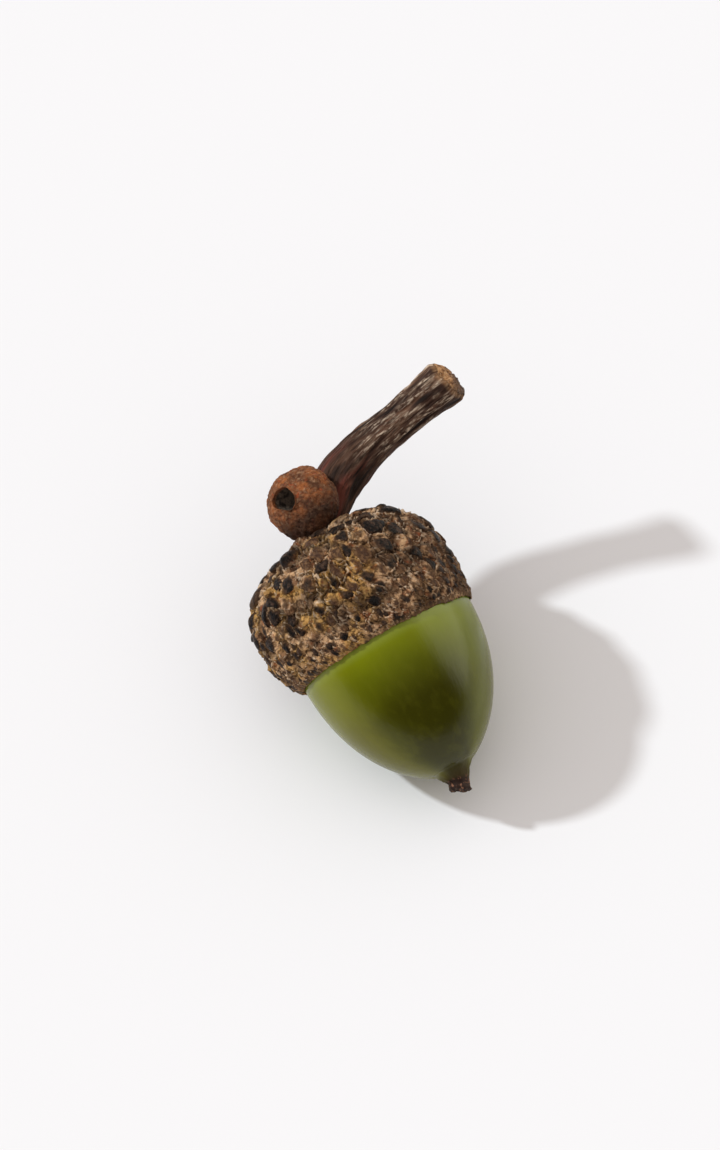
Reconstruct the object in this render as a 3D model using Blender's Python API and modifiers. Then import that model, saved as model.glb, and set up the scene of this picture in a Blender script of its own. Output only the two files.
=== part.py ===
"""An acorn lying on its side: a nut in its scaly cup, and the woody stalk, which also bears a small empty cup.

Each piece is modelled on the acorn's own axis: z = 0 is the plane of the cup's rim, +Z points along the nut
to its tip, -X is the side that faces up and +Y the side that the stalk leans to. One empty lays that axis
down until the cup and the nut's shoulder both touch the ground, so that +X runs from the cup to the tip.
"""

import math

import bmesh
import bpy
from mathutils import Vector

# Nut, metres
NUT_RADIUS = 0.00865
NUT_GIRTH = 0.0008  # how far behind the rim's plane the nut is widest
NUT_FRONT = 0.0129  # from the rim's plane to the foot of the point
NUT_BACK = 0.0109  # from the rim's plane to the scar, inside the cup
SCAR_RADIUS = 0.0040
NUT_TAPER = (2.15, 0.60)  # powers of the curve in front of the girth: fullness, then how blunt its end is
NUT_BUTT = (2.80, 0.45)  # the same behind the girth
POINT_LENGTH = 0.0023
POINT_RADIUS = 0.00080
POINT_CROWN = 0.00090
POINT_LEAN = 0.2  # sideways metres per metre along the axis
NUT_SIDES = 56
NUT_ROWS = 12

# Cup
CUP_RADIUS = 0.0102
CUP_DEPTH = 0.0129
CUP_GIRTH = 0.0052  # how far behind the rim the cup is widest
RIM_RADIUS = 0.0092
CUP_BULGE = 0.0007  # how far the cup swells towards -Y
CUP_BUTT = (2.45, 0.43)
SCALE_RELIEF = 0.0005
RELIEF_FADE = 5  # rows over which the studs grow from the rim
CUP_SIDES = 72
CUP_ROWS = 22

# Stalk: points along it as (towards the tip, to the side, up) from the middle of the rim's plane
STALK_ROUTE = (
    (-0.0113, -0.0002, 0.0000),
    (-0.0140, 0.0011, 0.0002),
    (-0.0160, 0.0035, 0.0008),
    (-0.0172, 0.0066, 0.0017),
    (-0.0178, 0.0099, 0.0030),
    (-0.0183, 0.0132, 0.0046),
    (-0.0187, 0.0166, 0.0063),
)
STALK_RADII = (0.0019, 0.0021, 0.0024, 0.0019, 0.00165, 0.00165, 0.0019)
STALK_RIDGES = 8
RIDGE_RELIEF = 0.07  # of the stalk's radius

# Small cup
SMALL_RADIUS = 0.0035
SMALL_HEIGHT = 0.0060
SMALL_CENTRE = (-0.0153, -0.0010, 0.0024)
SMALL_MOUTH = (-0.28, -0.50, 0.82)  # the way that its opening faces
PORE_RADIUS = 0.00095
PORE_DEPTH = 0.0022
SMALL_SIDES = 32
SMALL_ROWS = 14

GAP = 0.0003  # left between pieces that touch
FLAT_DEPTH = 0.0002  # how deep the resting spots are cut
MERGE = 0.00001

# sRGB colour and roughness of each piece
FINISHES = {
    "nut": ("#5C5D12", 0.28),
    "cup": ("#8A6B48", 0.85),
    "stalk": ("#4A362B", 0.65),
    "small_cup": ("#7A4F34", 0.75),
}


def clear_scene():
    for obj in list(bpy.data.objects):
        bpy.data.objects.remove(obj, do_unlink=True)


def new_collection(name):
    collection = bpy.data.collections.new(name)
    bpy.context.scene.collection.children.link(collection)
    return collection


def to_linear(code):
    channels = [int(code[i : i + 2], 16) / 255 for i in (1, 3, 5)]
    linear = [c / 12.92 if c <= 0.04045 else ((c + 0.055) / 1.055) ** 2.4 for c in channels]
    return (*linear, 1.0)


def finish(name):
    colour, roughness = FINISHES[name]
    material = bpy.data.materials.new(name + "_surface")
    material.use_nodes = True
    shader = material.node_tree.nodes["Principled BSDF"]
    shader.inputs["Base Color"].default_value = to_linear(colour)
    shader.inputs["Roughness"].default_value = roughness
    shader.inputs["Metallic"].default_value = 0.0
    material.diffuse_color = to_linear(colour)
    return material


def on_axis(point):
    """A (towards the tip, to the side, up) point in the axes that the pieces are modelled in."""
    along, side, up = point
    return Vector((-up, side, along))


def evaluated_mesh(obj):
    bpy.context.view_layer.update()
    graph = bpy.context.evaluated_depsgraph_get()
    return bpy.data.meshes.new_from_object(obj.evaluated_get(graph))


def make_mesh_object(obj):
    """Replaces a curve or modified object by a plain mesh object of its evaluated shape, closed and facing out."""
    mesh = evaluated_mesh(obj)
    body = bmesh.new()
    body.from_mesh(mesh)
    bmesh.ops.remove_doubles(body, verts=body.verts, dist=MERGE)
    bmesh.ops.recalc_face_normals(body, faces=body.faces)
    body.to_mesh(mesh)
    body.free()
    name = obj.name
    matrix = obj.matrix_world.copy()
    bpy.data.objects.remove(obj, do_unlink=True)
    solid = bpy.data.objects.new(name, mesh)
    solid.matrix_world = matrix
    mesh.shade_smooth()
    return solid


def turned(name, profile, sides):
    """A solid turned about Z. Its (radius, z) profile runs down the outer side."""
    mesh = bpy.data.meshes.new(name)
    edges = [(i, i + 1) for i in range(len(profile) - 1)]
    mesh.from_pydata([(radius, 0.0, z) for radius, z in profile], edges, [])
    obj = bpy.data.objects.new(name, mesh)
    bpy.context.scene.collection.objects.link(obj)
    screw = obj.modifiers.new("turn", "SCREW")
    screw.steps = sides
    screw.render_steps = sides
    screw.use_merge_vertices = True
    screw.merge_threshold = MERGE
    return make_mesh_object(obj)


def rounded(radius, share, powers):
    """The radius of a rounded end at a share of its length, from the full radius at 0 to none at 1."""
    fullness, bluntness = powers
    return radius * max(0.0, 1 - share**fullness) ** bluntness


def nut_radius(z):
    """The nut's radius at a height on its axis: tapering in front of its girth, and blunter behind it."""
    beyond = z + NUT_GIRTH
    if beyond >= 0:
        return rounded(NUT_RADIUS, beyond / (NUT_FRONT + NUT_GIRTH), NUT_TAPER)
    return rounded(NUT_RADIUS, -beyond / (NUT_BACK - NUT_GIRTH), NUT_BUTT)


def nut_front():
    """The nut's outline from the tip of its point down to the rim's plane."""
    point_foot = NUT_FRONT - 0.0004
    tip = point_foot + POINT_LENGTH
    outline = [
        (0.0, tip - 0.0001),
        (POINT_CROWN * 0.7, tip),
        (POINT_CROWN, tip - 0.0003),
        (POINT_RADIUS, tip - 0.0009),
        (POINT_RADIUS * 1.1, point_foot + 0.0005),
    ]
    for i in range(NUT_ROWS):
        z = point_foot * math.cos(math.pi / 2 * (0.12 + 0.88 * i / NUT_ROWS))
        outline.append((nut_radius(z), z))
    return outline


def nut_back():
    """The nut's outline from the rim's plane down to the middle of its scar, which sits in the cup."""
    outline = []
    for i in range(NUT_ROWS - 2):
        z = -NUT_BACK * math.sin(math.pi / 2 * 0.94 * i / (NUT_ROWS - 2))
        if nut_radius(z) > SCAR_RADIUS * 1.1:
            outline.append((nut_radius(z), z))
    return outline + [(SCAR_RADIUS, -NUT_BACK), (0.0, -NUT_BACK)]


def grown(outline, distance):
    """A turned outline moved out along its normals. The outline runs down the outer side."""
    moved = []
    for i, (radius, z) in enumerate(outline):
        before = outline[max(i - 1, 0)]
        after = outline[min(i + 1, len(outline) - 1)]
        run = Vector((after[0] - before[0], after[1] - before[1])).normalized()
        new_radius = radius - run.y * distance if radius > 0 else 0.0
        moved.append((new_radius, z + run.x * distance))
    return moved


def cup_radius(z):
    """The radius of the cup's outside, over the tops of its scales."""
    if z > -CUP_GIRTH:
        return CUP_RADIUS - (CUP_RADIUS - RIM_RADIUS) * ((z + CUP_GIRTH) / CUP_GIRTH) ** 2
    return rounded(CUP_RADIUS, (-CUP_GIRTH - z) / (CUP_DEPTH - CUP_GIRTH), CUP_BUTT)


def cup_outside():
    """The cup's outline from the rim down to the middle of its base."""
    outline = []
    front_rows = round(CUP_ROWS * 0.28)
    for i in range(front_rows):
        z = -CUP_GIRTH * i / front_rows
        outline.append((cup_radius(z), z))
    back_rows = CUP_ROWS - front_rows
    for i in range(back_rows):
        z = -CUP_GIRTH - (CUP_DEPTH - CUP_GIRTH) * math.sin(math.pi / 2 * i / back_rows)
        outline.append((cup_radius(z), z))
    return outline + [(0.0, -CUP_DEPTH)]


def closed_top(outline):
    """An open turned outline with its top edge joined to the axis, which makes it a solid."""
    return [(0.0, outline[0][1])] + outline


def cup_profile():
    hollow = grown(nut_back(), GAP)
    return hollow[::-1] + cup_outside()


def outer_row(vertex, rows):
    """Which row of an outer profile a turned solid's vertex belongs to, or None if it belongs to none."""
    radius = math.hypot(vertex.co.x, vertex.co.y)
    off = [math.hypot(radius - r, vertex.co.z - z) for r, z in rows]
    row = off.index(min(off))
    return row if off[row] < MERGE * 3 else None


def add_scales(obj, rows, sides, relief, plain_rows):
    """Leaves every fourth point of the outer rows standing and sinks the rest, which makes rows of studs."""
    for vertex in obj.data.vertices:
        row = outer_row(vertex, rows)
        if row is None or row < plain_rows or row == len(rows) - 1:
            continue
        column = round(math.atan2(vertex.co.y, vertex.co.x) / (2 * math.pi) * sides)
        stands = row % 2 and (column + row // 2) % 2
        if not stands:
            fade = min(1.0, rows[row][0] / (rows[0][0] * 0.4), (row - plain_rows + 1) / RELIEF_FADE)
            inward = Vector((vertex.co.x, vertex.co.y, vertex.co.z * 0.6 + 0.003)).normalized()
            vertex.co -= inward * relief * fade


def outside_of(obj, rows):
    return [vertex for vertex in obj.data.vertices if outer_row(vertex, rows) is not None]


def swell(vertices):
    """Bulges the cup's outside towards -Y, most at half its depth. The hollow for the nut stays round."""
    for vertex in vertices:
        depth = min(1.0, max(0.0, -vertex.co.z / CUP_DEPTH))
        vertex.co.y -= CUP_BULGE * math.sin(math.pi * depth)


def lean_point(obj):
    for vertex in obj.data.vertices:
        beyond = vertex.co.z - NUT_FRONT * 0.95
        if beyond > 0:
            vertex.co.y -= POINT_LEAN * beyond


def ridged_section():
    """The stalk's cross-section, one unit in radius, with low ridges along the stalk."""
    curve = bpy.data.curves.new("stalk_section", "CURVE")
    curve.dimensions = "2D"
    sides = STALK_RIDGES * 3
    spline = curve.splines.new("POLY")
    spline.points.add(sides - 1)
    for i, point in enumerate(spline.points):
        turn = 2 * math.pi * i / sides
        radius = 1 + RIDGE_RELIEF * math.cos(STALK_RIDGES * turn + 0.4)
        point.co = (radius * math.cos(turn), radius * math.sin(turn), 0.0, 1.0)
    spline.use_cyclic_u = True
    section = bpy.data.objects.new("stalk_section", curve)
    bpy.context.scene.collection.objects.link(section)
    return section


def build_stalk():
    section = ridged_section()
    curve = bpy.data.curves.new("stalk", "CURVE")
    curve.dimensions = "3D"
    curve.bevel_mode = "OBJECT"
    curve.bevel_object = section
    curve.use_fill_caps = True
    curve.resolution_u = 4
    spline = curve.splines.new("BEZIER")
    spline.bezier_points.add(len(STALK_ROUTE) - 1)
    for knot, place, radius in zip(spline.bezier_points, STALK_ROUTE, STALK_RADII):
        knot.co = on_axis(place)
        knot.radius = radius
        knot.handle_left_type = "AUTO"
        knot.handle_right_type = "AUTO"
    obj = bpy.data.objects.new("stalk", curve)
    bpy.context.scene.collection.objects.link(obj)
    stalk = make_mesh_object(obj)
    bpy.data.objects.remove(section, do_unlink=True)
    return stalk


def small_cup_outside():
    outline = []
    for i in range(SMALL_ROWS):
        turn = math.pi * (0.16 + 0.84 * i / SMALL_ROWS)
        outline.append((SMALL_RADIUS * math.sin(turn), SMALL_HEIGHT / 2 * math.cos(turn)))
    return outline + [(0.0, -SMALL_HEIGHT / 2)]


def place_small_cup(obj):
    mouth = on_axis(SMALL_MOUTH).normalized()
    obj.rotation_mode = "QUATERNION"
    obj.rotation_quaternion = Vector((0, 0, 1)).rotation_difference(mouth)
    obj.location = on_axis(SMALL_CENTRE)


def build_small_cup():
    outside = small_cup_outside()
    lip = outside[0][1]
    pore = [
        (0.0, lip - PORE_DEPTH),
        (PORE_RADIUS * 0.45, lip - PORE_DEPTH * 0.9),
        (PORE_RADIUS * 0.85, lip - PORE_DEPTH * 0.4),
        (PORE_RADIUS, lip + 0.0001),
        (PORE_RADIUS * 1.25, lip + 0.0002),
    ]
    small = turned("small_cup", pore + outside, SMALL_SIDES)
    add_scales(small, outside, SMALL_SIDES, SCALE_RELIEF * 0.4, 1)
    place_small_cup(small)
    return small


def lowest(radius_at, start, end, lean):
    """How far below the middle of the rim's plane a turned shape reaches once the axis leans by this angle."""
    steps = 200
    places = [start + (end - start) * i / steps for i in range(steps + 1)]
    return max(z * math.sin(lean) + radius_at(z) * math.cos(lean) for z in places)


def resting_lean():
    """The lean at which the cup and the nut's shoulder reach equally low."""
    low, high = 0.0, math.radians(40)
    for _ in range(40):
        lean = (low + high) / 2
        nut = lowest(nut_radius, 0.0, NUT_FRONT * 0.9, lean)
        cup = lowest(cup_radius, -CUP_DEPTH, 0.0, lean)
        low, high = (lean, high) if nut < cup else (low, lean)
    return lean


def cut(obj, cutter):
    boolean = obj.modifiers.new("cut_" + cutter.name, "BOOLEAN")
    boolean.operation = "DIFFERENCE"
    boolean.solver = "EXACT"
    boolean.object = cutter


def ground_cutter(collection):
    bpy.ops.mesh.primitive_cube_add(size=0.1, location=(0, 0, -0.05))
    ground = bpy.context.object
    ground.name = "ground_cutter"
    for old in list(ground.users_collection):
        old.objects.unlink(ground)
    collection.objects.link(ground)
    return ground


def centre_on_origin(root, parts):
    """Moves the whole acorn sideways until its bounding box stands centred on the origin."""
    bpy.context.view_layer.update()
    graph = bpy.context.evaluated_depsgraph_get()
    points = []
    for part in parts:
        shape = part.evaluated_get(graph)
        points += [shape.matrix_world @ vertex.co for vertex in shape.data.vertices]
    for axis in (0, 1):
        values = [point[axis] for point in points]
        root.location[axis] -= (min(values) + max(values)) / 2


def build():
    clear_scene()
    parts = new_collection("acorn")
    cutters = new_collection("cutters")

    lean = resting_lean()
    root = bpy.data.objects.new("acorn_axis", None)
    root.empty_display_size = 0.01
    root.rotation_euler = (0, math.pi / 2 + lean, 0)
    root.location.z = lowest(cup_radius, -CUP_DEPTH, 0.0, lean) - FLAT_DEPTH
    parts.objects.link(root)

    nut = turned("nut", nut_front() + nut_back(), NUT_SIDES)
    lean_point(nut)
    cup = turned("cup", cup_profile(), CUP_SIDES)
    cup_skin = outside_of(cup, cup_outside())
    add_scales(cup, cup_outside(), CUP_SIDES, SCALE_RELIEF, 1)
    swell(cup_skin)
    stalk = build_stalk()
    small = build_small_cup()

    around_cup = turned("around_cup", closed_top(grown(cup_outside(), GAP)), CUP_SIDES)
    swell(around_cup.data.vertices)
    around_small = turned("around_small_cup", closed_top(grown(small_cup_outside(), GAP)), SMALL_SIDES)
    place_small_cup(around_small)
    ground = ground_cutter(cutters)

    for piece in (nut, cup, stalk, small):
        piece.data.materials.clear()
        piece.data.materials.append(finish(piece.name))
        piece.parent = root
        parts.objects.link(piece)
    for cutter in (around_cup, around_small):
        cutter.parent = root
        cutters.objects.link(cutter)
    for cutter in (around_cup, around_small, ground):
        cutter.hide_render = True
        cutter.display_type = "WIRE"

    cut(nut, ground)
    cut(cup, ground)
    cut(stalk, around_cup)
    cut(stalk, around_small)
    cut(small, around_cup)
    centre_on_origin(root, (nut, cup, stalk, small))


build()
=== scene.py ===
"""Looks for the acorn: a waxy green nut, a woolly scaled cup, a ridged stalk and a small undeveloped cup.

Every piece is shaped in the acorn's own axes, in metres from the middle of the rim's plane: x runs along the
nut to its tip, y to the side that the stalk leans to and z up out of the acorn's back. The pieces are closed
skins of fine rings, so scales, bark and fibres are real relief.
"""

import math

import bpy
import numpy as np
from mathutils import Matrix, Vector, kdtree, noise


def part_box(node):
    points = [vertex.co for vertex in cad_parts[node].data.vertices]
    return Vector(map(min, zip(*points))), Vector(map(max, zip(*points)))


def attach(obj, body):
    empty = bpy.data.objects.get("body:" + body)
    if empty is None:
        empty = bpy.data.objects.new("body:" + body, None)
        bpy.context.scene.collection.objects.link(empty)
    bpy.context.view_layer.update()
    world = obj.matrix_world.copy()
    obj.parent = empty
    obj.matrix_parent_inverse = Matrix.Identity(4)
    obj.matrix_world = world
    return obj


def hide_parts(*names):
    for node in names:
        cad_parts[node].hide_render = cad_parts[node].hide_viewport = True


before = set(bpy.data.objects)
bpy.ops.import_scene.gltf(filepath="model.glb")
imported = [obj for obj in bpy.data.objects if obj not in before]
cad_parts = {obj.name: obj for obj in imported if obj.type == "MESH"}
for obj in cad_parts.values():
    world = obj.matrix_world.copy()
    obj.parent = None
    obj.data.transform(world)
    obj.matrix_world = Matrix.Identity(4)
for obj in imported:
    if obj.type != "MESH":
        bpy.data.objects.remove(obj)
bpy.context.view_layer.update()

# How fine the skins are: rings from end to end, and points round each ring
FINE = 1.0
NUT_RINGS, NUT_AROUND = int(230 * FINE), int(300 * FINE)
CUP_RINGS, CUP_AROUND, LINING_RINGS = int(188 * FINE), int(470 * FINE), int(18 * FINE)
STALK_RINGS, STALK_AROUND, BREAK_RINGS = int(300 * FINE), int(220 * FINE), int(26 * FINE)
SMALL_RINGS, SMALL_AROUND, PIT_RINGS = int(170 * FINE), int(300 * FINE), int(40 * FINE)

# The acorn, metres and degrees, as the solids are built
LEAN = math.radians(16.15)
NUT_RADIUS = 0.00865
NUT_GIRTH = 0.0008  # how far behind the rim's plane it is widest
NUT_FRONT = 0.0129  # where its round front closes, under the point
NUT_BACK = 0.0109
TIP_REACH = 0.0148  # where the solid's point ends
POINT_REACH = 0.0144  # where the skin's point ends, before its crumbs
POINT_RADIUS = 0.00088
POINT_FLARE = 0.0015  # how much wider the point is where it leaves the nut
POINT_START = 0.0022  # how far before the nut's front it starts
POINT_BLEND = 0.00036  # how softly it runs into the nut
CUP_RADIUS = 0.0102
CUP_DEPTH = 0.0129
CUP_GIRTH = 0.0052  # how far behind the rim's plane it is widest
RIM_RADIUS = 0.0092
CUP_BULGE = 0.0007  # how far its middle swells to the side
CUP_SCALE_SINK = 0.00038  # how far the ground lies below the outline, so that the scales come up to it
RIM_AT = -0.0005
LINING_GAP = 0.0001  # between the nut and the cup's lining
STALK_ROUTE = (
    (-0.0105, -0.0006, 0.0000),
    (-0.0125, 0.0002, 0.0001),
    (-0.0140, 0.0011, 0.0002),
    (-0.0160, 0.0035, 0.0008),
    (-0.0172, 0.0065, 0.0017),
    (-0.0179, 0.0098, 0.0030),
    (-0.0184, 0.0131, 0.0046),
    (-0.0188, 0.0162, 0.0062),
)
STALK_RADII = (0.0023, 0.0021, 0.0020, 0.0022, 0.0020, 0.0018, 0.0019, 0.0022)
SMALL_RADIUS = 0.0034
SMALL_HEIGHT = 0.0060
SMALL_CENTRE = (-0.0154, -0.0009, 0.0024)
SMALL_MOUTH = (-0.28, -0.65, 0.70)
PORE_RADIUS = 0.00118
PORE_DEPTH = 0.0022

# How wide scales are, by how far along the skin they sit: from the cup's foot, and from the small cup's mouth
CUP_SCALES = {0.0: 0.0024, 0.005: 0.0024, 0.010: 0.00205, 0.0135: 0.00165, 0.0160: 0.00122, 0.0175: 0.00088,
              0.0190: 0.00066}
SMALL_SCALES = {0.0: 0.00055, 0.0015: 0.00060, 0.004: 0.00085, 0.010: 0.0010}

GOLDEN_TURN = math.pi * (3 - math.sqrt(5))


# ---- small tools


def linear(code):
    """A #RRGGBB colour as linear RGBA."""
    channels = [int(code[i : i + 2], 16) / 255 for i in (1, 3, 5)]
    return (*[c / 12.92 if c <= 0.04045 else ((c + 0.055) / 1.055) ** 2.4 for c in channels], 1.0)


def ease(low, high, value):
    """0 below low, 1 above high and smooth between, also where high is the smaller one."""
    share = np.clip((value - low) / (high - low), 0.0, 1.0)
    return share * share * (3 - 2 * share)


def unit(vectors):
    """The same directions at length 1."""
    return vectors / np.maximum(np.linalg.norm(vectors, axis=-1, keepdims=True), 1e-12)


def roughen(points, grain, seed, octaves=3):
    """Fractal noise at points, about -1 to 1, whose largest lumps are a grain across in metres."""
    shift = Vector((seed * 7.31, seed * 3.17, seed * 5.53))
    fall, finer = 0.8, 2.0  # how fast octaves weaken, and how much finer each one is
    flat = points.reshape(-1, 3) / grain
    values = [noise.fractal(Vector(p) + shift, fall, finer, octaves) for p in flat.tolist()]
    return np.array(values).reshape(points.shape[:-1])


def acorn_axes():
    """Where the acorn's own axes lie, found from the nut's solid: its tip, its top and its middle."""
    corners = np.array([v.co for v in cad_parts["nut"].data.vertices])
    along = np.array((math.cos(LEAN), 0.0, -math.sin(LEAN)))
    above = np.array((math.sin(LEAN), 0.0, math.cos(LEAN)))
    low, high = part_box("nut")
    middle = along * (np.max(corners @ along) - TIP_REACH) + above * (np.max(corners @ above) - NUT_RADIUS)
    middle[1] = (low.y + high.y) / 2
    columns = (Vector(along), Vector((0, 1, 0)), Vector(above))
    return Matrix.Translation(middle) @ Matrix(columns).transposed().to_4x4()


AXES = acorn_axes()


def skin(name, rings, marks, weave=None):
    """A closed piece through rings of points, whose first and last rings are single points.

    rings is rows x around x 3, in the acorn's axes. Each mark is rows x around and becomes a point attribute.
    The patterns of the finishes lie in weave, another rows x around x 3, or else in the acorn's axes.
    """
    rows, around = rings.shape[:2]

    def one_of_each_pole(grid):
        return np.concatenate([grid[0, :1], grid[1:-1].reshape(-1, *grid.shape[2:]), grid[-1, :1]])

    place = 1 + np.arange((rows - 2) * around).reshape(rows - 2, around)
    beside = np.roll(place, -1, axis=1)
    last = 1 + (rows - 2) * around
    faces = np.stack([place[:-1], beside[:-1], beside[1:], place[1:]], axis=-1).reshape(-1, 4).tolist()
    faces += [(0, b, a) for a, b in zip(place[0].tolist(), beside[0].tolist())]
    faces += [(last, a, b) for a, b in zip(place[-1].tolist(), beside[-1].tolist())]
    placed = one_of_each_pole(rings) @ np.array(AXES.to_3x3()).T + np.array(AXES.translation)
    placed[:, 2] = np.maximum(placed[:, 2], 0.0)
    mesh = bpy.data.meshes.new(name)
    mesh.from_pydata(placed.tolist(), [], faces)
    for mark, values in marks.items():
        painted = mesh.attributes.new(mark, "FLOAT", "POINT")
        painted.data.foreach_set("value", one_of_each_pole(np.asarray(values, dtype=np.float32)))
    woven = one_of_each_pole(rings if weave is None else weave).astype(np.float32)
    mesh.attributes.new("weave", "FLOAT_VECTOR", "POINT").data.foreach_set("vector", woven.ravel())
    if signed_volume(rings) < 0:
        mesh.flip_normals()
    mesh.shade_smooth()
    mesh.update()
    piece = bpy.data.objects.new(name, mesh)
    bpy.context.scene.collection.objects.link(piece)
    return piece


def signed_volume(rings):
    """The volume inside rings of points, positive where the faces made by skin() look outwards."""
    beside = np.roll(rings, -1, axis=1)
    a, b, c, d = rings[:-1], beside[:-1], beside[1:], rings[1:]
    return float(np.sum(np.cross(a, b) * c) + np.sum(np.cross(a, c) * d)) / 6


def put_in_place(piece, node, material):
    """Gives a piece its finish and lets it stand for its solid."""
    piece.data.materials.append(material)
    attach(piece, "root")
    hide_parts(node)


# ---- turned outlines, as (radius, x) pairs


def rounded(radius, share, fullness, bluntness):
    """A radius that closes to 0 as share goes from 0 to 1, like an ellipse's but fuller or blunter."""
    return radius * np.maximum(0.0, 1 - np.clip(share, 0, 1) ** fullness) ** bluntness


def nut_radius(x):
    beyond = np.asarray(x) + NUT_GIRTH
    front = rounded(NUT_RADIUS, beyond / (NUT_FRONT + NUT_GIRTH), 2.15, 0.60)
    back = rounded(NUT_RADIUS, -beyond / (NUT_BACK - NUT_GIRTH), 2.80, 0.45)
    return np.where(beyond >= 0, front, back)


def cup_radius(x):
    x = np.asarray(x)
    front = CUP_RADIUS - (CUP_RADIUS - RIM_RADIUS) * (np.maximum(x + CUP_GIRTH, 0) / CUP_GIRTH) ** 2
    back = rounded(CUP_RADIUS, (-CUP_GIRTH - x) / (CUP_DEPTH - CUP_GIRTH), 2.45, 0.43)
    return np.where(x > -CUP_GIRTH, front, back)


def even_outline(radius, x, rows):
    """An outline's points spaced evenly along it, with how far along each one is, in metres."""
    steps = np.hypot(np.diff(radius), np.diff(x))
    run = np.concatenate([[0.0], np.cumsum(steps)])
    even = np.linspace(0, run[-1], rows)
    return np.interp(even, run, radius), np.interp(even, run, x), even


def turned(radius, x, around):
    """Rings of points of an outline turned about the acorn's axis, and the outward normals."""
    turn = np.linspace(0, 2 * math.pi, around, endpoint=False)
    out = np.stack([np.zeros(around), np.sin(turn), np.cos(turn)], axis=-1)
    axis = np.array((1.0, 0.0, 0.0))
    rings = radius[:, None, None] * out + x[:, None, None] * axis
    rise = np.gradient(radius)
    run = np.gradient(x)
    normals = unit(run[:, None, None] * out - rise[:, None, None] * axis)
    return rings, normals


# ---- scales: where they sit on a turned surface, and the relief that they make


def scatter_scales(radius, x, run, size_at, seed, jitter=0.13):
    """Scales in the spirals that plants grow them in: each a golden turn on, closer where they are smaller.

    Returns each scale's middle, its sideways and forward directions, its size and a draw between 0 and 1.
    """
    draw = np.random.default_rng(seed)
    sizes = size_at(run)
    hexagon = 0.87  # the area of one as wide as a scale, which is the room that a scale takes
    rooms = 2 * math.pi * radius[1:] * np.diff(run) / (hexagon * sizes[1:] ** 2)
    cells = np.concatenate([[0.0], np.cumsum(rooms)])
    count = int(cells[-1])
    place = np.interp(np.arange(count) + 0.5, cells, run)
    size = size_at(place)
    place = np.clip(place + size * draw.uniform(-jitter, jitter, count), run[1], run[-1])
    r, along = np.interp(place, run, radius), np.interp(place, run, x)
    turn = np.arange(count) * GOLDEN_TURN + size / np.maximum(r, size) * draw.uniform(-jitter, jitter, count)
    slope = np.interp(place, run, np.gradient(radius, run))
    lift = np.interp(place, run, np.gradient(x, run))
    out = np.stack([np.zeros(count), np.sin(turn), np.cos(turn)], axis=-1)
    axis = np.array((1.0, 0.0, 0.0))
    middle = r[:, None] * out + along[:, None] * axis
    forward = unit(slope[:, None] * out + lift[:, None] * axis)
    sideways = np.stack([np.zeros(count), np.cos(turn), -np.sin(turn)], axis=-1)
    return middle, sideways, forward, size, draw.uniform(0, 1, count)


def nearest_scale(points, scales, width, length):
    """For each point: the scale it is on, and its place on that scale, where 1 is the scale's edge."""
    middle, sideways, forward, size, _ = scales
    tree = kdtree.KDTree(len(middle))
    for i, co in enumerate(middle.tolist()):
        tree.insert(co, i)
    tree.balance()
    flat = points.reshape(-1, 3)
    neighbours = 5
    near = np.array([[hit[1] for hit in tree.find_n(p, neighbours)] for p in flat.tolist()])
    away = flat[:, None, :] - middle[near]
    u = np.sum(away * sideways[near], axis=-1) / (0.5 * width * size[near])
    v = np.sum(away * forward[near], axis=-1) / (0.5 * length * size[near])
    reach = np.hypot(u, v)
    order = np.argsort(reach, axis=1)
    first = order[:, :1]
    second = np.take_along_axis(reach, order[:, 1:2], axis=1)[:, 0]
    shape = points.shape[:-1]
    chosen = np.take_along_axis(near, first, axis=1)[:, 0].reshape(shape)
    u = np.take_along_axis(u, first, axis=1)[:, 0].reshape(shape)
    v = np.take_along_axis(v, first, axis=1)[:, 0].reshape(shape)
    gap = second.reshape(shape) - np.hypot(u, v)
    return chosen, u, v, gap


# ---- the cup


def cup_scale_size(run):
    """Big knobbly scales round the foot, smaller up the side and finest at the rim."""
    return np.interp(run, list(CUP_SCALES), list(CUP_SCALES.values()))


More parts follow.
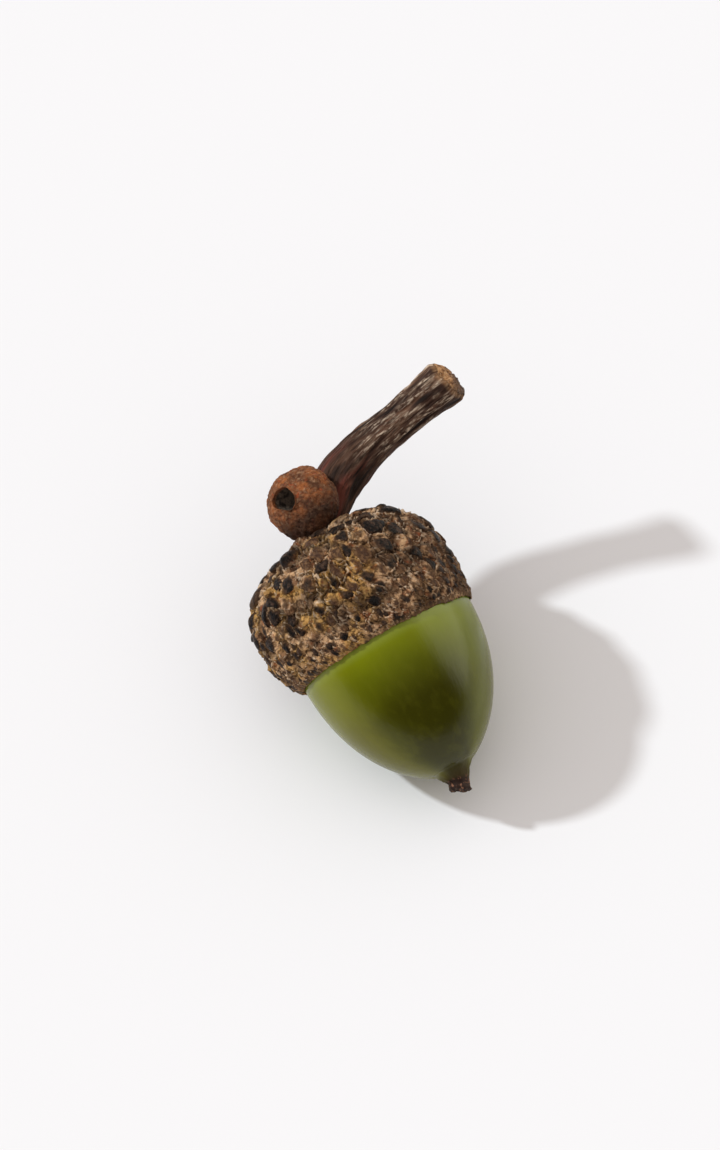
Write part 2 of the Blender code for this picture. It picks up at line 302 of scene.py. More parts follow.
def build_cup():
    closing = np.sin(np.linspace(0, math.pi / 2, 120))
    back = -CUP_GIRTH - (CUP_DEPTH - CUP_GIRTH) * closing[::-1]
    x = np.concatenate([back, np.linspace(-CUP_GIRTH, RIM_AT, 60)[1:]])
    radius, x, run = even_outline(cup_radius(x), x, CUP_RINGS)

    # the last millimetre rounds over to a thin lip against the nut
    thin = nut_radius(x) + 0.00022
    radius = thin + (radius - thin) * np.sqrt(ease(RIM_AT, RIM_AT - 0.0010, x))
    radius[0] = 0.0
    rim = run[-1]
    rings, normals = turned(radius - CUP_SCALE_SINK * ease(rim, rim - 0.0012, run), x, CUP_AROUND)
    scales = scatter_scales(radius, x, run, cup_scale_size, seed=4, jitter=0.42)

    # the scales' edges wander by up to a fifth of a scale
    wander = np.stack([roughen(rings, 0.0014, seed, 2) for seed in (1, 2, 3)], axis=-1)
    wandering = rings + wander * 0.22 * cup_scale_size(run)[:, None, None]
    chosen, u, v, gap = nearest_scale(wandering, scales, width=0.95, length=1.10)
    size, tone = scales[3][chosen], scales[4][chosen]
    # dark and pale scales come in groups
    group = np.clip(scales[4] + 0.5 * roughen(scales[0], 0.0042, 71, 2), 0, 1)[chosen]

    def differs(times_round):
        """Another 0 to 1 draw for each scale, read out of its own."""
        return (tone * times_round) % 1.0

    # each scale is a woolly mound with a hard cap and leans to the rim, and some lie in a socket with a
    # raised edge
    foot_way = run[:, None]
    tall = 0.45 + 0.95 * differs(7.3) + 0.10 * ease(0.009, 0.005, foot_way)
    wide = 0.90 + 0.30 * differs(3.7)
    drawn_out = rings * np.array((0.45, 1.0, 1.0))
    ragged = 0.34 * roughen(rings, 0.0007, 14, 3) + 0.22 * roughen(drawn_out, 0.0003, 17, 2)
    dome = np.clip(1 - (u / wide) ** 2 - ((v - 0.05) / (wide + 0.15)) ** 2, 0, 1)
    mound = dome**0.7 * ease(-0.05, 0.40, gap)
    bare = 0.06 + 0.52 * differs(5.9) + 0.10 * ease(0.0145, 0.0175, foot_way)
    bare = bare + 0.28 * ease(0.50, 0.80, group)
    cap = ease(bare, bare + 0.58, mound + ragged * (1 - 0.5 * mound)) * ease(0.0, 0.35, gap)
    edged = ease(0.30, 0.45, differs(11.1))
    socket = ease(0.22, 0.02, gap) * edged
    moat = ease(0.10, 0.24, gap) * ease(0.55, 0.32, gap) * (1 - cap) * (0.4 + 0.6 * edged)

    # strands of wool run where two lumps of noise meet; the fluff between them is finer
    wool = 1 - np.minimum(1, 2.6 * np.abs(roughen(rings, 0.0013, 9, 3)))
    fibres = 1 - np.minimum(1, 2.2 * np.abs(roughen(drawn_out, 0.0005, 15, 3)))
    fluff = roughen(rings, 0.00036, 10, 3)
    lumps = roughen(rings, 0.0034, 12, 2)
    sunk = 0.19 + 0.07 * ease(0.009, 0.003, foot_way)
    height = size * (0.31 * tall * mound + 0.03 * cap + 0.13 * socket - 0.09 * moat - sunk) + 0.00016 * lumps
    height += (1 - cap) * (0.00018 * wool + 0.00010 * fibres + 0.00008 * fluff) + cap * 0.00003 * fluff
    fade = (ease(0.0, 0.0012, run) * (1 - 0.55 * ease(rim - 0.0010, rim - 0.0002, run)))[:, None]
    towards_rim = unit(np.gradient(rings, axis=0))
    lean = 0.22 * size * mound
    rings = rings + normals * (height * fade)[..., None] + towards_rim * (lean * fade)[..., None]
    edge = ease(rim - 0.0007, rim, foot_way)

    # the lip turns in against the nut, and the hollow follows the nut's shoulder down to its scar
    lining_x = np.concatenate([np.linspace(RIM_AT, -NUT_BACK * 0.985, LINING_RINGS), [-NUT_BACK - 0.0002]])
    lining_radius = np.concatenate([nut_radius(lining_x[:-1]) + LINING_GAP, [0.0]])
    lining, _ = turned(lining_radius, lining_x, CUP_AROUND)
    rings[-3:, :, 0] += 0.00016 * roughen(rings[-3:], 0.0007, 21, 3)
    lining[0] = lining[0] * 0.5 + rings[-1] * 0.5
    rings[:, :, 1] -= CUP_BULGE * np.sin(math.pi * np.clip(-rings[:, :, 0] / CUP_DEPTH, 0, 1))

    def mark(values):
        return np.concatenate([np.broadcast_to(values, rings.shape[:2]), np.zeros(lining.shape[:2])])

    pale = np.maximum(np.maximum(0.88 * wool, 0.90 * fibres), 0.97 * socket)
    marks = {"cap": mark(cap), "tone": mark(group), "draw": mark(tone), "moat": mark(moat)}
    marks |= {"wool": mark(pale), "rim": mark(edge)}
    cup = skin("scaly_cup", np.concatenate([rings, lining]), marks)
    put_in_place(cup, "cup", cup_finish())
    return cup


# ---- the nut


def build_nut():
    bend = np.linspace(0, math.pi, 400)
    x = np.where(np.cos(bend) > 0, NUT_FRONT * np.cos(bend), NUT_BACK * np.cos(bend))[::-1]
    radius = nut_radius(x)
    radius[0] = 0.0

    # the point flares into the nut: where the two outlines meet, a soft larger-of-both joins them
    point_x = np.linspace(NUT_FRONT - POINT_START, POINT_REACH, 60)
    point = POINT_RADIUS + POINT_FLARE * ease(0.0034, 0.0006, point_x - NUT_FRONT + POINT_START)
    point += 0.00006 * ease(0.0005, 0.0, POINT_REACH - point_x)
    body = nut_radius(point_x)
    joined = POINT_BLEND * np.logaddexp(point / POINT_BLEND, body / POINT_BLEND)
    spare = POINT_BLEND * math.log(2) * np.exp(-np.abs(body - point) / POINT_BLEND)
    joined = np.maximum(joined - spare, body)

    # its end, as shares of its radius with how far each stands out, is a shallow dish with a rounded edge
    end = ((0.75, 0.00012), (0.35, 0.0), (0.0, -0.00010))
    keep = x < point_x[0]
    radius = np.concatenate([radius[keep], joined, [joined[-1] * share for share, _ in end]])
    x = np.concatenate([x[keep], point_x, [POINT_REACH + rise for _, rise in end]])
    radius, x, run = even_outline(radius, x, NUT_RINGS)
    radius[0] = radius[-1] = 0.0
    rings, normals = turned(radius, x, NUT_AROUND)

    # a slightly uneven body, and a dry folded crumbly point
    brown = ease(NUT_FRONT - 0.0014, POINT_REACH, x)[:, None] * np.ones(NUT_AROUND)
    turn = np.linspace(0, 2 * math.pi, NUT_AROUND, endpoint=False)
    swell = 0.00003 * np.sin(3 * turn + 1.0) + 0.00002 * np.sin(5 * turn)
    crumbs = roughen(rings, 0.0005, 31, 4) * 0.00010 * brown
    folds = 0.00003 * np.sin(7 * turn + 3 * np.sin(turn))[None, :] * brown
    shape = (swell[None, :] + crumbs + folds) * ease(0.0, 0.002, run)[:, None]
    rings = rings + normals * shape[..., None]
    beyond = np.maximum(0.0, rings[:, :, 0] - NUT_FRONT * 0.95)
    # the point hangs to one side, and its end is cut straight across the way that it hangs
    rings[:, :, 0] += 0.5 * rings[:, :, 1] * ease(NUT_FRONT, POINT_REACH - 0.0003, x)[:, None]
    rings[:, :, 1] -= 0.20 * beyond + 0.00028 * (np.maximum(0.0, rings[:, :, 0]) / NUT_FRONT) ** 2
    nut = skin("green_nut", rings, {"brown": brown})
    put_in_place(nut, "nut", nut_finish())
    return nut


# ---- the stalk


def smooth_route(knots, count):
    """Points evenly spaced on a smooth curve through knots of any number of values."""
    knots = np.array(knots, dtype=float)
    padded = np.concatenate([[2 * knots[0] - knots[1]], knots, [2 * knots[-1] - knots[-2]]])
    t = np.linspace(0, len(knots) - 1, count)
    i = np.minimum(t.astype(int), len(knots) - 2)
    f = (t - i)[:, None]
    p0, p1, p2, p3 = (padded[i + n] for n in range(4))
    square = 2 * p0 - 5 * p1 + 4 * p2 - p3
    cube = 3 * p1 - p0 - 3 * p2 + p3
    return 0.5 * (2 * p1 + (p2 - p0) * f + square * f**2 + cube * f**3)


def build_stalk():
    knots = [(*place, radius) for place, radius in zip(STALK_ROUTE, STALK_RADII)]
    route = smooth_route(knots, STALK_RINGS)
    middle, radius = route[:, :3], route[:, 3]
    ahead = unit(np.gradient(middle, axis=0))
    up = np.array((0.0, 0.0, 1.0))
    side = unit(np.cross(ahead, up))
    top = np.cross(side, ahead)
    turn = np.linspace(0, 2 * math.pi, STALK_AROUND, endpoint=False)
    out = np.cos(turn)[None, :, None] * top[:, None, :] + np.sin(turn)[None, :, None] * side[:, None, :]
    run = np.concatenate([[0.0], np.cumsum(np.linalg.norm(np.diff(middle, axis=0), axis=1))])

    # ridges wander a little as they run along, with furrows between them: the noise lies on the bark as if
    # the stalk were straight, and is drawn out along it
    usual, drawn = 0.0017, 0.13
    unrolled = np.stack([
        np.broadcast_to(run[:, None] * drawn, (STALK_RINGS, STALK_AROUND)),
        usual * np.cos(turn)[None, :] * np.ones((STALK_RINGS, 1)),
        usual * np.sin(turn)[None, :] * np.ones((STALK_RINGS, 1)),
    ], axis=-1)
    ridges = roughen(unrolled, 0.0007, 41, 3)
    fibres = roughen(unrolled, 0.00028, 43, 2)
    lumps = roughen(middle[:, None, :] + usual * out, 0.0028, 44, 2)
    relief = 0.00015 * ridges + 0.00010 * fibres + 0.00006 * lumps
    reach = (radius[:, None] + relief) * (1 - 0.10 * ease(run[-1] - 0.0006, run[-1], run)[:, None] ** 2)

    # the broken end slants back on its upper side, with torn fibres round a pale core
    slant = 0.0004 * (0.5 + 0.5 * np.cos(turn + 1.1)) + 0.00020 * roughen(unrolled[-1:], 0.0008, 47, 3)[0]
    near_end = ease(run[-1] - 0.006, run[-1], run)[:, None]
    set_back = ahead[:, None, :] * (slant[None, :] * near_end)[..., None]
    rings = middle[:, None, :] + out * reach[..., None] - set_back
    shares = np.linspace(1, 0, BREAK_RINGS + 1)[1:] ** 0.8
    core = rings[-1].mean(axis=0)
    cap = core + (rings[-1] - core) * shares[:, None, None]
    rise = 0.00016 * roughen(cap, 0.0006, 51, 3) * ease(1.0, 0.8, shares)[:, None]
    rise = rise + 0.0004 * np.sqrt(1 - shares[:, None] ** 2)
    cap = cap + ahead[-1] * rise[..., None]
    cap[-1] = cap[-1].mean(axis=0)
    foot = np.broadcast_to(middle[0], (1, STALK_AROUND, 3))

    def mark(values, at_end):
        values = np.broadcast_to(values, rings.shape[:2])
        return np.concatenate([np.zeros((1, STALK_AROUND)), values, np.broadcast_to(at_end, cap.shape[:2])])

    torn = ease(0.0006, 0.0001, run[-1] - run)[:, None]
    bright = np.clip(0.50 + 1.10 * np.cos(turn + 0.9)[None, :] * shares[:, None], 0, 1)
    marks = {"ridge": mark(0.5 + 0.9 * ridges, 0.5), "broken": mark(torn * 0.4, bright),
             "upper": mark(ease(0.006, 0.018, run)[:, None], 1.0)}
    weave = np.concatenate([unrolled[:1], unrolled, cap])
    stalk = skin("woody_stalk", np.concatenate([foot, rings, cap]), marks, weave)
    put_in_place(stalk, "stalk", stalk_finish())
    return stalk


# ---- the small cup


def small_scale_size(run):
    """Finest at the mouth, where the youngest scales are."""
    return np.interp(run, list(SMALL_SCALES), list(SMALL_SCALES.values()))


def build_small_cup():
    bend = np.linspace(0.12 * math.pi, math.pi, 200)
    radius, x, run = even_outline(SMALL_RADIUS * np.sin(bend), SMALL_HEIGHT / 2 * np.cos(bend), SMALL_RINGS)
    rings, inwards = turned(radius, x, SMALL_AROUND)
    scales = scatter_scales(radius, x, run, small_scale_size, seed=8, jitter=0.2)
    warp = np.stack([roughen(rings, 0.0008, seed, 2) for seed in (61, 62, 63)], axis=-1)
    chosen, u, v, gap = nearest_scale(rings + warp * 0.00012, scales, width=1.0, length=1.35)
    size = scales[3][chosen]
    # v runs away from the mouth, and these flat scales point to it
    tile = np.clip(1 - (u / 1.05) ** 2 - ((v + 0.1) / 1.15) ** 2, 0, 1) ** 0.6 * ease(-0.02, 0.2, gap)
    grit = roughen(rings, 0.0004, 65, 3)
    lumps = roughen(rings, 0.0022, 66, 3)
    height = size * (0.09 * tile - 0.10) + 0.00007 * grit + 0.00018 * lumps
    rings = rings - inwards * height[..., None]
    rings[-1] = rings[-1].mean(axis=0)

    # the pit: a rolled lip, then walls that narrow to a rough floor
    depth = np.linspace(0, 1, PIT_RINGS)
    lip_x, lip_width = x[0], radius[0] - PORE_RADIUS
    walls = PORE_RADIUS * (1 - 0.62 * depth**1.6)
    walls_x = lip_x + 0.00006 - PORE_DEPTH * depth
    pit_radius = np.concatenate([PORE_RADIUS + np.array((0.66, 0.33)) * lip_width, walls, [0.0]])
    pit_x = np.concatenate([lip_x + np.array((0.00010, 0.00012)), walls_x, [lip_x - PORE_DEPTH]])
    pit, _ = turned(pit_radius, pit_x, SMALL_AROUND)
    turn = np.linspace(0, 2 * math.pi, SMALL_AROUND, endpoint=False)
    corners = 1 + 0.07 * np.cos(3 * turn + 0.6) - 0.12 * np.cos(2 * turn)
    pit[:, :, 1:] *= corners[None, :, None]
    pit += unit(pit * np.array((0.0, 1.0, 1.0))) * (0.00006 * roughen(pit, 0.0005, 68, 3))[..., None]
    pit[-1] = pit[-1].mean(axis=0)
    everything = np.concatenate([pit[::-1], rings])
    shade = np.concatenate([[1.0], ease(0.0, 0.35, depth)[::-1], [0.0, 0.0]])

    def mark(values, in_pit):
        values = np.broadcast_to(values, rings.shape[:2])
        return np.concatenate([np.broadcast_to(in_pit, pit.shape[:2]), values])

    marks = {"pit": mark(0.0, shade[:, None]), "tile": mark(tile, 0.6)}
    mouth = Vector(SMALL_MOUTH).normalized()
    turn_to_mouth = np.array(Vector((1, 0, 0)).rotation_difference(mouth).to_matrix())
    everything = everything @ turn_to_mouth.T + np.array(SMALL_CENTRE)
    small = skin("undeveloped_cup", everything, marks)
    put_in_place(small, "small_cup", small_cup_finish())
    return small


# ---- finishes


def add(tree, kind, links=(), **settings):
    """Adds a node, with its settings, and sets or links its inputs from (socket, value or output) pairs."""
    made = tree.nodes.new(kind)
    for key, value in settings.items():
        setattr(made, key, value)
    for socket, value in links:
        if isinstance(value, bpy.types.NodeSocket):
            tree.links.new(value, made.inputs[socket])
        else:
            made.inputs[socket].default_value = value
    return made


def new_finish(name, roughness, **sockets):
    material = bpy.data.materials.new(name)
    material.use_nodes = True
    tree = material.node_tree
    shader = tree.nodes["Principled BSDF"]
    shader.inputs["Roughness"].default_value = roughness
    for socket, value in sockets.items():
        shader.inputs[socket.replace("_", " ")].default_value = value
    return material, tree, shader


# the sockets that a colour Mix node uses
SHARE, UNDER, OVER, MIXED = 0, 6, 7, 2


def layer(tree, share, under, over, most=1.0):
    """Lays one colour over another: none of it where share is 0, and as much as most where share is 1."""
    if most < 1.0:
        share = both(tree, share, most)
    under = linear(under) if isinstance(under, str) else under
    over = linear(over) if isinstance(over, str) else over
    links = ((SHARE, share), (UNDER, under), (OVER, over))
    return add(tree, "ShaderNodeMix", links, data_type="RGBA").outputs[MIXED]


def both(tree, one, other):
    """A pattern that shows only where two others both do."""
    return add(tree, "ShaderNodeMath", ((0, one), (1, other)), operation="MULTIPLY").outputs[0]


def mottle(tree, size_mm, low, high, stretch=(1, 1, 1), detail=3.0):
    """A 0 to 1 pattern of soft patches about size_mm across; a higher low leaves fewer of them."""
    where = add(tree, "ShaderNodeAttribute", attribute_name="weave").outputs["Vector"]
    scaled = add(tree, "ShaderNodeMapping", ((0, where), ("Scale", stretch))).outputs[0]
    grain = (("Vector", scaled), ("Scale", 1000 / size_mm), ("Detail", detail))
    noisy = add(tree, "ShaderNodeTexNoise", grain)
    ranged = (("Value", noisy.outputs[0]), ("From Min", low), ("From Max", high))
    return add(tree, "ShaderNodeMapRange", ranged, interpolation_type="SMOOTHSTEP").outputs[0]


def mark_of(tree, name, low=0.0, high=1.0):
    """One of the piece's marks, as 0 at low to 1 at high."""
    value = add(tree, "ShaderNodeAttribute", attribute_name=name).outputs["Fac"]
    ranged = (("Value", value), ("From Min", low), ("From Max", high))
    return add(tree, "ShaderNodeMapRange", ranged, interpolation_type="SMOOTHSTEP").outputs[0]


def fine_relief(tree, shader, pattern, depth, strength):
    """Relief too fine for the mesh: a pattern raised by depth metres."""
    raised = add(tree, "ShaderNodeBump", (("Height", pattern), ("Distance", depth), ("Strength", strength)))
    tree.links.new(raised.outputs[0], shader.inputs["Normal"])


def nut_finish():
    """Cuticle of a green acorn, waxy as it grew.

    It is smooth, so it mirrors the light softly, and its thin bloom pales the edges; the pale band along the
    rim is a painted highlight. The flesh under it is yellow green, and deep olive where the sun ripened it.
    The point is dry and brown and has lost its wax.
    """
    material, tree, shader = new_finish("waxy_green_shell", 0.26, IOR=1.48, Specular_IOR_Level=0.26)
    shader.inputs["Sheen Weight"].default_value = 0.04
    shader.inputs["Sheen Roughness"].default_value = 0.45
    shader.inputs["Sheen Tint"].default_value = linear("#B2B062")
    where = add(tree, "ShaderNodeAttribute", attribute_name="weave").outputs["Vector"]
    along = add(tree, "ShaderNodeSeparateXYZ", ((0, where),)).outputs["X"]
    off_axis = add(tree, "ShaderNodeVectorMath", ((0, where), (1, (0, 1, 1))), operation="MULTIPLY")
    off_axis = off_axis.outputs[0]
    outwards = add(tree, "ShaderNodeVectorMath", ((0, off_axis),), operation="NORMALIZE").outputs[0]

    # the sunny side is darkest from the middle to the tip, over about a quarter of the way round, with an
    # edge that wanders
    sun = add(tree, "ShaderNodeVectorMath", ((0, outwards), (1, (0, -0.20, 0.98))), operation="DOT_PRODUCT")
    wander = ((0, mottle(tree, 4.0, 0.3, 0.7, (0.5, 1, 1))), (1, 0.06), (2, sun.outputs["Value"]))
    sun = add(tree, "ShaderNodeMath", wander, operation="MULTIPLY_ADD").outputs[0]
    sunny = (("Value", sun), ("From Min", 0.62), ("From Max", 0.98))
    sunny = add(tree, "ShaderNodeMapRange", sunny, interpolation_type="SMOOTHSTEP").outputs[0]
    to_tip = (("Value", along), ("From Min", -0.0012), ("From Max", 0.0062))
    to_tip = add(tree, "ShaderNodeMapRange", to_tip).outputs[0]
    side = add(tree, "ShaderNodeVectorMath", ((0, outwards), (1, (0, -1, 0))), operation="DOT_PRODUCT")
    ripe = (("Value", side.outputs["Value"]), ("From Min", 0.55), ("From Max", 1.0), ("To Max", 0.34))
    ripe = add(tree, "ShaderNodeMapRange", ripe, interpolation_type="SMOOTHSTEP").outputs[0]
    # a pale greyish green band along the rim: painted highlight, which lightens the shade that the rim casts
    # on the nut
    painted_rim_haze = (("Value", along), ("From Min", 0.0007), ("From Max", -0.0004), ("To Max", 0.32))
    painted_rim_haze = add(tree, "ShaderNodeMapRange", painted_rim_haze, interpolation_type="SMOOTHSTEP").outputs[0]

    colour = layer(tree, mottle(tree, 5.0, 0.40, 0.70), "#828C00", "#768002")
    colour = layer(tree, to_tip, colour, "#4E4C08", 0.72)
    # fine pale lines run along the nut
    colour = layer(tree, mottle(tree, 0.9, 0.5, 0.8, (0.05, 1, 1)), colour, "#8F901A", 0.12)
    colour = layer(tree, ripe, colour, "#6A5E10")
    colour = layer(tree, both(tree, to_tip, sunny), colour, "#373600")
    colour = layer(tree, mottle(tree, 1.0, 0.46, 0.68, (0.4, 1, 1)), colour, "#6E6E16", 0.12)
    # painted highlight: the pale band along the rim
    colour = layer(tree, painted_rim_haze, colour, "#8A9650")
    colour = layer(tree, mark_of(tree, "brown", 0.0, 0.7), colour, "#3D3014", 0.85)
    end = mark_of(tree, "brown", 0.66, 0.86)
    colour = layer(tree, end, colour, "#2C1A12")
    colour = layer(tree, both(tree, end, mottle(tree, 0.32, 0.54, 0.66, (0.7, 1, 1))), colour, "#8A6048")
    tree.links.new(colour, shader.inputs["Base Color"])
    dry = (("Value", mark_of(tree, "brown", 0.1, 0.6)), ("To Min", 0.25), ("To Max", 0.75))
    tree.links.new(add(tree, "ShaderNodeMapRange", dry).outputs[0], shader.inputs["Roughness"])
    fine_relief(tree, shader, mottle(tree, 0.35, 0.3, 0.7, (0.06, 1, 1)), 0.00001, 0.5)
    return material


def cup_finish():
    """Oak cup, dried as it grew: felted scales whose hard tips have turned dark.

    The wool is tan, matte and uneven, with pale strands, with painted shade deep in it and in wide dark
    patches, painted ochre light on its lit side and painted shade on its other side. The tips are near black
    or worn brown, with painted pale highlights, and smooth enough to catch a little light.
    """
    material, tree, shader = new_finish("woolly_cup_scales", 0.88, Specular_IOR_Level=0.14)
    where = add(tree, "ShaderNodeAttribute", attribute_name="weave").outputs["Vector"]
    across = add(tree, "ShaderNodeSeparateXYZ", ((0, where),)).outputs["Y"]
    # the wool gets painted ochre light on the sunny, lit side, and painted shade dims it on the other side
    shady = (("Value", across), ("From Min", -0.004), ("From Max", 0.007))
    shady = add(tree, "ShaderNodeMapRange", shady, interpolation_type="SMOOTHSTEP").outputs[0]
    sunny = add(tree, "ShaderNodeMapRange", (("Value", shady), ("To Min", 1.0), ("To Max", 0.0))).outputs[0]
    painted_shade_dimming = add(tree, "ShaderNodeMapRange", (("Value", shady), ("To Min", 1.0), ("To Max", 0.80))).outputs[0]

    wool = layer(tree, mottle(tree, 1.3, 0.40, 0.62), "#D2A87E", "#8F6A4C")
    # painted light: ochre patches on the lit side
    wool = layer(tree, both(tree, mottle(tree, 3.6, 0.44, 0.60), sunny), wool, "#CB9C5A")
    wool = layer(tree, mottle(tree, 0.8, 0.56, 0.66), wool, "#93491F", 0.6)
    wool = layer(tree, mottle(tree, 0.45, 0.46, 0.60), wool, "#432B1B", 0.75)
    # painted shade deep in the troughs round the scales
    wool = layer(tree, mark_of(tree, "moat", 0.0, 0.8), wool, "#24160D", 0.75)
    wool = layer(tree, mark_of(tree, "wool", 0.72, 0.97), wool, "#E8CDAE", 0.80)
    # painted shade: the wool is dimmed towards the shaded side
    painted_shade_multiply = ((SHARE, 1.0), (UNDER, wool), (OVER, painted_shade_dimming))
    wool = add(tree, "ShaderNodeMix", painted_shade_multiply, data_type="RGBA", blend_type="MULTIPLY").outputs[MIXED]
    # wide dark patches: painted shade, as of sunken holes among the scales
    wool = layer(tree, mottle(tree, 2.4, 0.48, 0.60), wool, "#24150C", 0.60)
    # in some groups the scales have no hard tip
    tipped = mark_of(tree, "tone", 0.10, 0.18)
    wool = layer(tree, both(tree, mark_of(tree, "cap", 0.0, 0.5), tipped), wool, "#40281A", 0.75)

    hard = both(tree, mark_of(tree, "cap", 0.10, 1.0), tipped)
    tip = layer(tree, mottle(tree, 0.6, 0.45, 0.65), "#0E0603", "#2C1B11")
    worn = layer(tree, mottle(tree, 0.35, 0.42, 0.62, (0.5, 1, 1)), "#4A2F1F", "#84603F")
    tip = layer(tree, mark_of(tree, "tone", 0.60, 0.75), tip, worn, 0.8)
    # pale patches on the tips: painted gloss highlights
    tip = layer(tree, mottle(tree, 0.45, 0.50, 0.66), tip, "#5E4636", 0.50)
    rusty = both(tree, mark_of(tree, "draw", 0.94, 0.96), mottle(tree, 0.5, 0.46, 0.58))
    tip = layer(tree, rusty, tip, "#8E4622")
    colour = layer(tree, hard, wool, tip)
    colour = layer(tree, mark_of(tree, "rim"), colour, "#B08F63", 0.15)
    tree.links.new(colour, shader.inputs["Base Color"])
    gloss = add(tree, "ShaderNodeMapRange", (("Value", hard), ("To Min", 0.9), ("To Max", 0.46))).outputs[0]
    tree.links.new(gloss, shader.inputs["Roughness"])
    fine_relief(tree, shader, mottle(tree, 0.22, 0.3, 0.7, detail=4.0), 0.00009, 1.0)
    return material


def stalk_finish():
    """Oak bark of a twig, dried and broken off.

    It is matte and dark brown, with pale grey lines on its ridges that are partly weathering and partly
    painted highlight, furrows darkened to black with painted shade, and a red flush at the swelling. Real
    fibres are too fine to show, so they are drawn about 0.2 mm wide.
    """
    material, tree, shader = new_finish("dry_ridged_bark", 0.70, Specular_IOR_Level=0.15)
    upper = mark_of(tree, "upper", 0.0, 0.9)
    lower = mark_of(tree, "upper", 0.5, 0.0)
    bark = layer(tree, mottle(tree, 0.9, 0.38, 0.62), "#3C261B", "#684A38")
    bark = layer(tree, lower, bark, "#2E201C", 0.45)
    bark = layer(tree, both(tree, lower, mottle(tree, 1.4, 0.47, 0.62)), bark, "#6B3026", 0.60)

    # the bark lies drawn out along the stalk, so a pattern with a stretch above 1 is less drawn out
    # the pale streaks and grey lines on the ridges of the upper stalk are partly weathering and partly
    # painted highlight
    streaks = both(tree, mottle(tree, 0.17, 0.47, 0.64), mark_of(tree, "ridge", 0.30, 0.95))
    streaks = both(tree, streaks, mottle(tree, 0.30, 0.34, 0.56, (5, 1, 1)))
    grey_wear_and_painted_highlight = both(tree, mottle(tree, 0.40, 0.46, 0.62, (3, 1, 1)), mark_of(tree, "ridge", 0.25, 0.80))
    bark = layer(tree, both(tree, grey_wear_and_painted_highlight, upper), bark, "#96806A", 0.48)
    bark = layer(tree, both(tree, streaks, upper), bark, "#CBB69F")
    bark = layer(tree, mottle(tree, 0.22, 0.52, 0.64), bark, "#1E130D", 0.6)
    # the furrows between the ridges are darkened with painted shade
    bark = layer(tree, mark_of(tree, "ridge", 0.44, 0.02), bark, "#1B110C", 0.90)

    torn = layer(tree, mottle(tree, 0.4, 0.42, 0.62), "#B5865A", "#6E4A2E")
    torn = layer(tree, mottle(tree, 0.25, 0.52, 0.66), torn, "#D9B48A", 0.6)
    tree.links.new(layer(tree, mark_of(tree, "broken"), bark, torn), shader.inputs["Base Color"])
    fine_relief(tree, shader, mottle(tree, 0.2, 0.3, 0.7, detail=4.0), 0.00005, 0.9)
    return material


def small_cup_finish():
    """Oak cup that never filled, dried as it grew, with its young scales pressed flat.

    It is matte and rusty orange brown, darker in the seams between scales, with painted shade on its lower
    side, and grey brown on the bare walls of the pit.
    """
    material, tree, shader = new_finish("young_cup_scales", 0.75, Specular_IOR_Level=0.2)
    where = add(tree, "ShaderNodeAttribute", attribute_name="weave").outputs["Vector"]
    # under marks the small cup's lower side, where painted shade darkens it
    slope = add(tree, "ShaderNodeVectorMath", ((0, where), (1, (0.98, 0.11, 0.0))), operation="DOT_PRODUCT")
    under = (("Value", slope.outputs["Value"]), ("From Min", -0.0158), ("From Max", -0.0130))
    under = add(tree, "ShaderNodeMapRange", under, interpolation_type="SMOOTHSTEP").outputs[0]
    colour = layer(tree, mottle(tree, 1.1, 0.38, 0.62), "#99592F", "#764629")
    colour = layer(tree, mottle(tree, 0.60, 0.48, 0.62), colour, "#3B2418", 0.60)
    colour = layer(tree, mottle(tree, 0.6, 0.58, 0.68), colour, "#AF5126", 0.5)
    colour = layer(tree, mottle(tree, 1.6, 0.48, 0.60), colour, "#3A2519", 0.60)
    colour = layer(tree, mottle(tree, 0.40, 0.54, 0.68), colour, "#B8906E", 0.35)
    colour = layer(tree, mark_of(tree, "tile", 0.30, 0.0), colour, "#2B1A13", 0.35)
    colour = layer(tree, mark_of(tree, "tile", 0.80, 1.0), colour, "#C49A70", 0.12)
    # painted shade on the lower side
    colour = layer(tree, under, colour, "#2C1D15", 0.80)
    walls = layer(tree, mottle(tree, 0.5, 0.42, 0.62), "#5C5044", "#2E2620")
    colour = layer(tree, mark_of(tree, "pit", 0.0, 0.8), colour, walls)
    tree.links.new(colour, shader.inputs["Base Color"])
    fine_relief(tree, shader, mottle(tree, 0.2, 0.3, 0.7, detail=4.0), 0.00006, 0.9)
    return material


# ---- the stage: floor, light and camera

VIEW_AZIMUTH = math.radians(59.2)
VIEW_HEIGHT = math.radians(61.5)
VIEW_DISTANCE = 0.55
FRAME_HEIGHT = 0.1055  # metres of the scene from the frame's top to its bottom
AIM_RIGHT = -0.00278  # from the middle of the rim's plane to the middle of the frame
AIM_UP = 0.00687

# The lamp's light goes this far across the view and towards the viewer for each metre down
KEY_ACROSS = 1.155
KEY_FORWARD = 0.276
KEY_STRENGTH = 2.08
KEY_ANGLE = math.radians(4)  # as wide as gives the shadow its soft edge
KEY_COLOUR = (0.89, 0.955, 1.0)
ROOM_STRENGTH = 4.0


def view_axes():
    back = Vector((math.sin(VIEW_AZIMUTH) * math.cos(VIEW_HEIGHT),
                   -math.cos(VIEW_AZIMUTH) * math.cos(VIEW_HEIGHT), math.sin(VIEW_HEIGHT)))
    right = Vector((math.cos(VIEW_AZIMUTH), math.sin(VIEW_AZIMUTH), 0))
    return right, back.cross(right), back


def set_camera():
    right, up, back = view_axes()
    data = bpy.data.cameras.new("view")
    data.sensor_fit = "VERTICAL"
    data.sensor_height = 24.0
    data.lens = data.sensor_height * VIEW_DISTANCE / FRAME_HEIGHT
    data.clip_start = 0.01
    camera = bpy.data.objects.new("view", data)
    bpy.context.scene.collection.objects.link(camera)
    aim = AXES.translation + right * AIM_RIGHT + up * AIM_UP
    turned_to = Matrix((right, up, back)).transposed().to_4x4()
    camera.matrix_world = Matrix.Translation(aim + back * VIEW_DISTANCE) @ turned_to
    bpy.context.scene.camera = camera


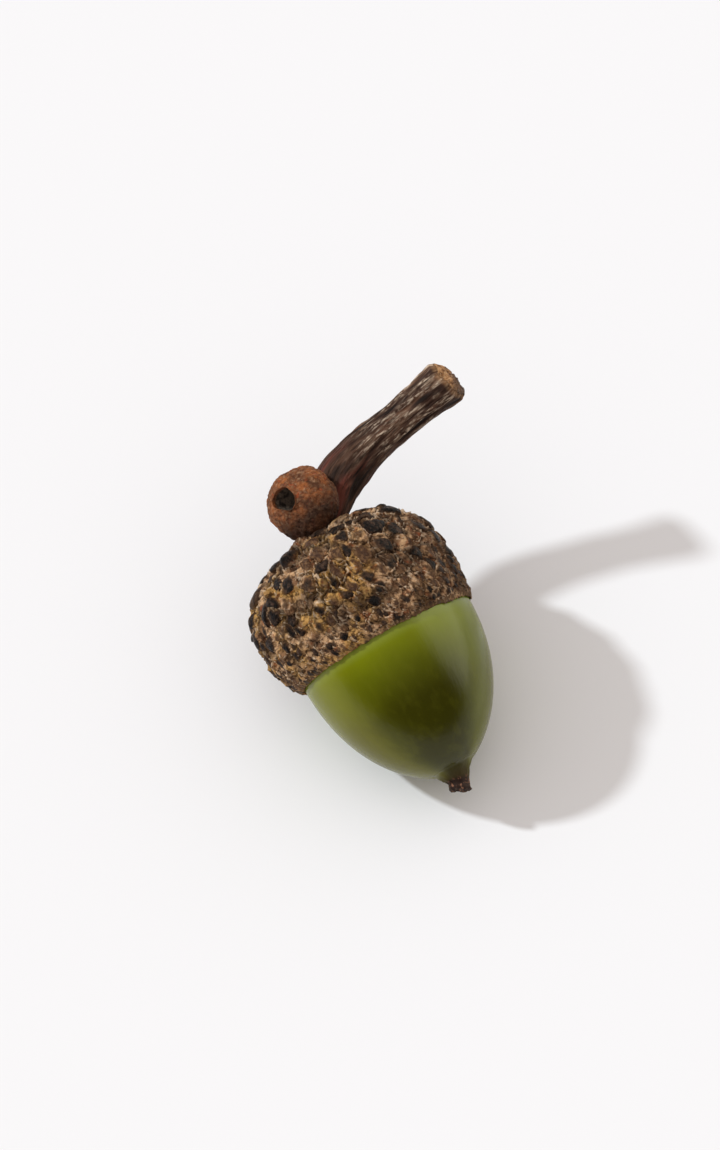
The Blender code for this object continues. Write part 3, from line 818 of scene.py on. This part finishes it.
def set_floor():
    bpy.ops.mesh.primitive_plane_add(size=6.0, location=(0, 0, 0))
    floor = bpy.context.object
    floor.name = "floor"
    material, _, shader = new_finish("white_paper_sweep", 0.9, Specular_IOR_Level=0.0)
    shader.inputs["Base Color"].default_value = linear("#F0F0F1")
    floor.data.materials.append(material)


def set_light():
    """One low sun-like lamp from behind on the left, in a soft grey room.

    What is glossy mirrors a dark room with one large white card in it, up on the right.
    """
    right, up, _ = view_axes()
    across = Vector((right.x, right.y, 0)).normalized()
    away = Vector((0, 0, 1)).cross(across)
    travel = (KEY_ACROSS * across - KEY_FORWARD * away - Vector((0, 0, 1))).normalized()
    data = bpy.data.lights.new("key", "SUN")
    data.energy = KEY_STRENGTH
    data.angle = KEY_ANGLE
    data.color = KEY_COLOUR
    key = bpy.data.objects.new("key", data)
    key.rotation_euler = travel.to_track_quat("-Z", "Y").to_euler()
    bpy.context.scene.collection.objects.link(key)

    world = bpy.data.worlds.new("studio")
    bpy.context.scene.world = world
    world.use_nodes = True
    tree = world.node_tree
    where = add(tree, "ShaderNodeTexCoord").outputs["Generated"]
    above = add(tree, "ShaderNodeSeparateXYZ", ((0, where),)).outputs["Z"]
    overhead = add(tree, "ShaderNodeMapRange", (("Value", above),)).outputs[0]
    fill = layer(tree, overhead, "#383635", "#898583")
    card_at = (across * 0.735 + up * 0.678).normalized()
    facing = add(tree, "ShaderNodeVectorMath", ((0, where), (1, card_at)), operation="DOT_PRODUCT")
    # the card starts 56 degrees from its middle and is full from 33
    card = (("Value", facing.outputs["Value"]), ("From Min", 0.56), ("From Max", 0.84))
    card = add(tree, "ShaderNodeMapRange", card, interpolation_type="SMOOTHSTEP").outputs[0]
    mirrored = layer(tree, card, "#060606", "#E6E6DA")
    glossy = add(tree, "ShaderNodeLightPath").outputs["Is Glossy Ray"]
    background = tree.nodes["Background"]
    tree.links.new(layer(tree, glossy, fill, mirrored), background.inputs["Color"])
    background.inputs["Strength"].default_value = ROOM_STRENGTH


bpy.context.scene.view_settings.view_transform = "Standard"
build_nut()
build_cup()
build_stalk()
build_small_cup()
set_floor()
set_light()
set_camera()
